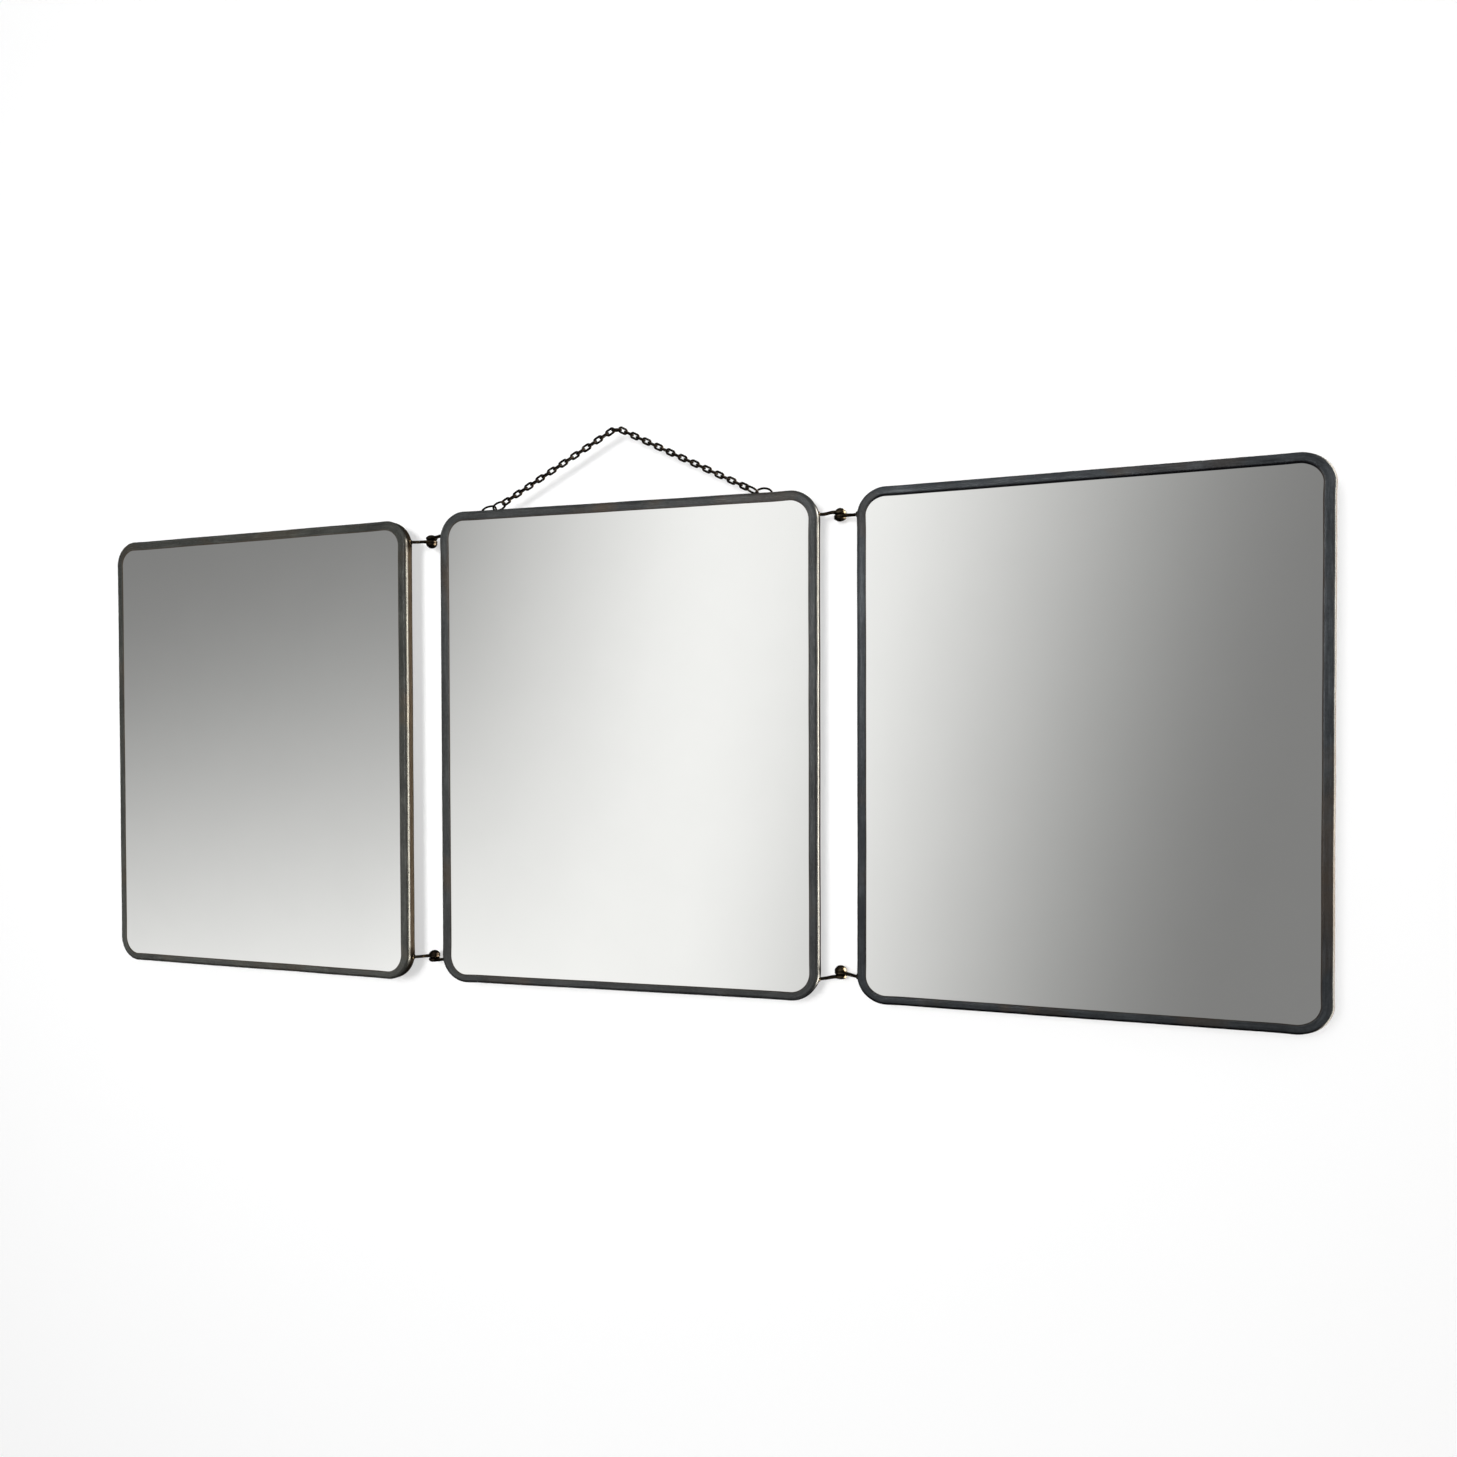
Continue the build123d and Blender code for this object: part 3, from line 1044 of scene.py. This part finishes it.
def makeLoop(side):
    node = side + "_hanging_loop"
    inward = -handOf(side)
    low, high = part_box(node)
    centre = boxCentre(node)
    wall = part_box("centre_frame")[1].z
    half, lean = hanger["loopHalf"], hanger["loopLeans"][side]
    rise = high.z - hanger["loopWire"] - wall
    middles = [Vector((centre.x - inward * half, centre.y, low.z))]
    for step in range(hanger["loopSteps"] + 1):
        angle = math.pi * step / hanger["loopSteps"]
        height = max(math.sin(angle), 0.0)
        x = centre.x - inward * (half * math.cos(angle) - lean * height**2)
        middles.append(Vector((x, centre.y, wall + rise * height ** hanger["loopFullness"])))
    middles.append(Vector((centre.x + inward * half, centre.y, low.z)))
    build = bmesh.new()
    bentWire(build, middles, Vector((0, 1, 0)), hanger["loopWire"])
    foot, tall = hanger["foot"], hanger["footHeight"]
    profile = [(0.8 * foot, 0), (foot, 0.2 * tall), (foot, 0.8 * tall), (0.8 * foot, tall)]
    for middle in (middles[0], middles[-1]):
        turned(build, middle, (0, 0, 1), profile)
    finishPiece(side + "Loop", build, wireFinish, "centre_panel", node)


def wholeLink(start, seen):
    link = [start]
    seen.add(start)
    for vert in link:
        for edge in vert.link_edges:
            other = edge.other_vert(vert)
            if other not in seen:
                seen.add(other)
                link.append(other)
    return link


def makeRolledRun(side):
    node = side + "_chain_run"
    build = bmesh.new()
    build.from_mesh(nodes[node].data)
    bmesh.ops.remove_doubles(build, verts=build.verts, dist=hair)
    towards = (boxCentre("apex_link") - boxCentre(side + "_end_ring")).normalized()
    roll = Matrix.Rotation(math.radians(hanger["roll"]), 3, towards)
    seen = set()
    for vert in build.verts:
        if vert not in seen:
            link = wholeLink(vert, seen)
            middle = sum((part.co for part in link), Vector()) / len(link)
            bmesh.ops.rotate(build, cent=middle, matrix=roll, verts=link)
    finish = nodes[node].data.materials[0]
    thicken(finishPiece(side + "Chain", build, finish, "hanger", node))


for name in ("right_chain_run", "apex_link"):
    thicken(nodes[name])
makeRolledRun("left")
for side in ("left", "right"):
    makeRing(side)
    makeLoop(side)
print("hanger dressed")

# the room: wall, floor, soft lights and camera

room = {
    "wallDepth": 0.015,
    "wallLean": -0.0167,
    "wallGrey": (0.40, 0.40, 0.40),
    "wallGlow": 0.56,
    "floorGlow": 0.55,
    "wallSpan": 6.0,
    "floorHeight": -1.35,
    "floorWhite": (0.93, 0.93, 0.925),
    "roughness": 0.9,
    "gloss": 0.1,
}


def addSheet(name, corners, material):
    mesh = bpy.data.meshes.new(name)
    mesh.from_pydata(corners, [], [(0, 1, 2, 3)])
    mesh.materials.append(material)
    sheet = addObject(name, mesh)
    return sheet


def hideFrom(sheet, rays):
    for ray in rays:
        setattr(sheet, "visible_" + ray, False)


def paintedSheet(name, corners, colour, glow):
    material, tree, shader = newMaterial(name + "Paint")
    shader.inputs["Base Color"].default_value = (*colour, 1)
    shader.inputs["Roughness"].default_value = room["roughness"]
    shader.inputs["Specular IOR Level"].default_value = room["gloss"]
    shader.inputs["Emission Color"].default_value = (1, 1, 1, 1)
    shader.inputs["Emission Strength"].default_value = glow
    return addSheet(name, corners, material), tree, shader


def makeFloor():
    half, low = room["wallSpan"] / 2, room["floorHeight"]
    corners = [(-half, -half, low), (half, -half, low), (half, half, low), (-half, half, low)]
    floor = paintedSheet("floor", corners, room["floorWhite"], room["floorGlow"])[0]
    hideFrom(floor, ("diffuse", "glossy"))


# the wall shows its room side only, so the back of the mirror can be seen too
def makeWall():
    half, low = room["wallSpan"] / 2, room["floorHeight"]
    near = room["wallDepth"] + room["wallLean"] * half
    far = room["wallDepth"] - room["wallLean"] * half
    corners = [(-half, far, low), (half, near, low), (half, near, half), (-half, far, half)]
    wall, tree, shader = paintedSheet("wall", corners, room["wallGrey"], room["wallGlow"])
    side = addNode(tree, "ShaderNodeNewGeometry")
    clear = addNode(tree, "ShaderNodeBsdfTransparent")
    mix = addNode(
        tree,
        "ShaderNodeMixShader",
        {0: side.outputs["Backfacing"], 1: shader.outputs[0], 2: clear.outputs[0]},
    )
    output = next(node for node in tree.nodes if node.type == "OUTPUT_MATERIAL")
    tree.links.new(mix.outputs[0], output.inputs["Surface"])
    hideFrom(wall, ("diffuse", "glossy", "transmission", "shadow", "volume_scatter"))


makeFloor()
makeWall()

softLights = {
    "key": {"place": (-0.12, -1.5, 0.02), "aim": (0, 0, -0.19), "size": 0.40, "power": 23},
    "fill": {"place": (0.3, -1.8, 0.2), "aim": (0, 0, -0.19), "size": 2.4, "power": 9},
    "back": {"place": (-0.5, 2.0, 1.0), "aim": (0, 0, -0.2), "size": 1.6, "power": 20},
}


def makeLights():
    for name, settings in softLights.items():
        data = bpy.data.lights.new(name, "AREA")
        data.size = settings["size"]
        data.energy = settings["power"]
        light = addObject(name, data)
        light.location = settings["place"]
        towards = Vector(settings["aim"]) - light.location
        light.rotation_euler = towards.to_track_quat("-Z", "Y").to_euler()
        light.visible_glossy = False


makeLights()

# a lit cloth stands before the mirrors and is what they show:
# a slanting window of light in the middle and a glow low on the left

cloth = {
    "depth": -0.62,
    "across": (-1.9, 1.0),
    "upright": (-1.2, 0.8),
    "floor": -0.72,
    "floorSoft": 0.14,
    "base": 0.21,
    "window": {
        "power": 0.803,
        "left": -0.309,
        "leftLean": 0.189,
        "leftSoft": 0.352,
        "right": 0.136,
        "rightLean": 0.205,
        "rightSoft": 0.349,
    },
    "glow": {
        "power": 1.076,
        "top": -0.32,
        "lean": 0.183,
        "soft": 0.679,
        "right": -0.434,
        "rightSoft": 0.273,
    },
    "gain": 1.12,
    "tint": (1.0, 0.998, 0.985),
}


def glowingSheet(name, corners, tint):
    material = bpy.data.materials.new(name)
    material.use_nodes = True
    tree = material.node_tree
    tree.nodes.clear()
    glow = addNode(tree, "ShaderNodeEmission")
    glow.inputs["Color"].default_value = (*tint, 1)
    addNode(tree, "ShaderNodeOutputMaterial", {"Surface": glow.outputs[0]})
    hideFrom(addSheet(name, corners, material), ("camera", "diffuse", "shadow"))
    return tree, glow


# a soft step along first, its line leaning with second
def leaningStep(tree, first, second, lean, middle, reach):
    shifted = addMath(tree, "ADD", first, addMath(tree, "MULTIPLY", second, -lean))
    return softStep(tree, shifted, middle, reach)


def windowLight(tree, x, z):
    window = cloth["window"]
    rise = leaningStep(tree, x, z, window["leftLean"], window["left"], window["leftSoft"])
    fall = leaningStep(tree, x, z, window["rightLean"], window["right"], window["rightSoft"])
    bright = addMath(tree, "MULTIPLY", rise, addMath(tree, "SUBTRACT", 1.0, fall))
    return addMath(tree, "MULTIPLY", bright, window["power"])


def lowGlow(tree, x, z):
    glow = cloth["glow"]
    top = leaningStep(tree, z, x, glow["lean"], glow["top"], glow["soft"])
    side = softStep(tree, x, glow["right"], glow["rightSoft"])
    below = addMath(tree, "SUBTRACT", 1.0, top)
    under = addMath(tree, "MULTIPLY", below, addMath(tree, "SUBTRACT", 1.0, side))
    return addMath(tree, "MULTIPLY", under, glow["power"])


def makeCloth():
    left, right = cloth["across"]
    low, high = cloth["upright"]
    depth = cloth["depth"]
    corners = [(left, depth, low), (right, depth, low), (right, depth, high), (left, depth, high)]
    tree, glow = glowingSheet("lightCloth", corners, cloth["tint"])
    place = addNode(tree, "ShaderNodeTexCoord")
    parts = addNode(tree, "ShaderNodeSeparateXYZ", {"Vector": place.outputs["Object"]})
    x, z = parts.outputs[0], parts.outputs[2]
    light = addMath(tree, "ADD", windowLight(tree, x, z), lowGlow(tree, x, z))
    light = addMath(tree, "ADD", light, cloth["base"])
    aboveFloor = softStep(tree, z, cloth["floor"], cloth["floorSoft"])
    light = addMath(tree, "MULTIPLY", light, aboveFloor)
    tree.links.new(addMath(tree, "MULTIPLY", light, cloth["gain"]), glow.inputs["Strength"])


makeCloth()

# a tall lit sheet on the right gives the rounded edges their cream line

sideSheet = {
    "across": 1.3,
    "depths": (-0.27, 1.2),
    "upright": (-1.2, 0.8),
    "power": 28.0,
    "tint": (1.0, 0.93, 0.80),
}


def makeSideSheet():
    near, far = sideSheet["depths"]
    low, high = sideSheet["upright"]
    x = sideSheet["across"]
    corners = [(x, near, low), (x, far, low), (x, far, high), (x, near, high)]
    glow = glowingSheet("sideSheet", corners, sideSheet["tint"])[1]
    glow.inputs["Strength"].default_value = sideSheet["power"]


makeSideSheet()

# the far surroundings: white to the eye, a weak light from above and from the front

world = {
    "seen": 0.98,
    "above": 0.26,
    "below": 0.03,
    "horizon": -0.15,
    "horizonSoft": 0.35,
    "behind": 0.12,
    "behindFrom": 0.25,
    "behindSoft": 0.3,
}


def makeWorld():
    around = bpy.data.worlds.new("room")
    bpy.context.scene.world = around
    around.use_nodes = True
    tree = around.node_tree
    tree.nodes.clear()
    seen = addNode(tree, "ShaderNodeBackground")
    seen.inputs["Color"].default_value = (world["seen"], world["seen"], world["seen"], 1)
    place = addNode(tree, "ShaderNodeTexCoord")
    parts = addNode(tree, "ShaderNodeSeparateXYZ", {"Vector": place.outputs["Generated"]})
    height = softStep(tree, parts.outputs[2], world["horizon"], world["horizonSoft"])
    level = addNode(
        tree,
        "ShaderNodeMapRange",
        {"Value": height, "To Min": world["below"], "To Max": world["above"]},
    )
    depth = softStep(tree, parts.outputs[1], world["behindFrom"], world["behindSoft"])
    behind = addNode(
        tree,
        "ShaderNodeMapRange",
        {"Value": depth, "To Min": 1.0, "To Max": world["behind"]},
    )
    strength = addMath(tree, "MULTIPLY", level.outputs[0], behind.outputs[0])
    light = addNode(tree, "ShaderNodeBackground", {"Strength": strength})
    light.inputs["Color"].default_value = (1, 1, 1, 1)
    ray = addNode(tree, "ShaderNodeLightPath")
    mix = addNode(
        tree,
        "ShaderNodeMixShader",
        {0: ray.outputs["Is Camera Ray"], 1: light.outputs[0], 2: seen.outputs[0]},
    )
    addNode(tree, "ShaderNodeOutputWorld", {"Surface": mix.outputs[0]})


makeWorld()

cameraSettings = {
    "place": (0.22249, -0.60697, -0.19778),
    "yaw": -14.053,
    "pitch": -0.837,
    "roll": -0.164,
    "lens": 25.626,
    "sensor": 36,
    "rise": 0.02602,
    "nearest": 0.01,
}


def makeCamera():
    data = bpy.data.cameras.new("camera")
    data.sensor_width = cameraSettings["sensor"]
    data.lens = cameraSettings["lens"]
    data.shift_y = cameraSettings["rise"]
    data.clip_start = cameraSettings["nearest"]
    yaw, pitch, roll = (math.radians(cameraSettings[key]) for key in ("yaw", "pitch", "roll"))
    ahead = Vector(
        (math.sin(yaw) * math.cos(pitch), math.cos(yaw) * math.cos(pitch), math.sin(pitch))
    )
    across = Vector((math.cos(yaw), -math.sin(yaw), 0))
    above = across.cross(ahead)
    right = math.cos(roll) * across + math.sin(roll) * above
    up = -math.sin(roll) * across + math.cos(roll) * above
    turn = Matrix((right, up, -ahead)).transposed()
    camera = addObject("camera", data)
    camera.matrix_world = Matrix.Translation(cameraSettings["place"]) @ turn.to_4x4()
    bpy.context.scene.camera = camera


makeCamera()
bpy.context.scene.view_settings.view_transform = "Standard"
print("room, lights and camera made")
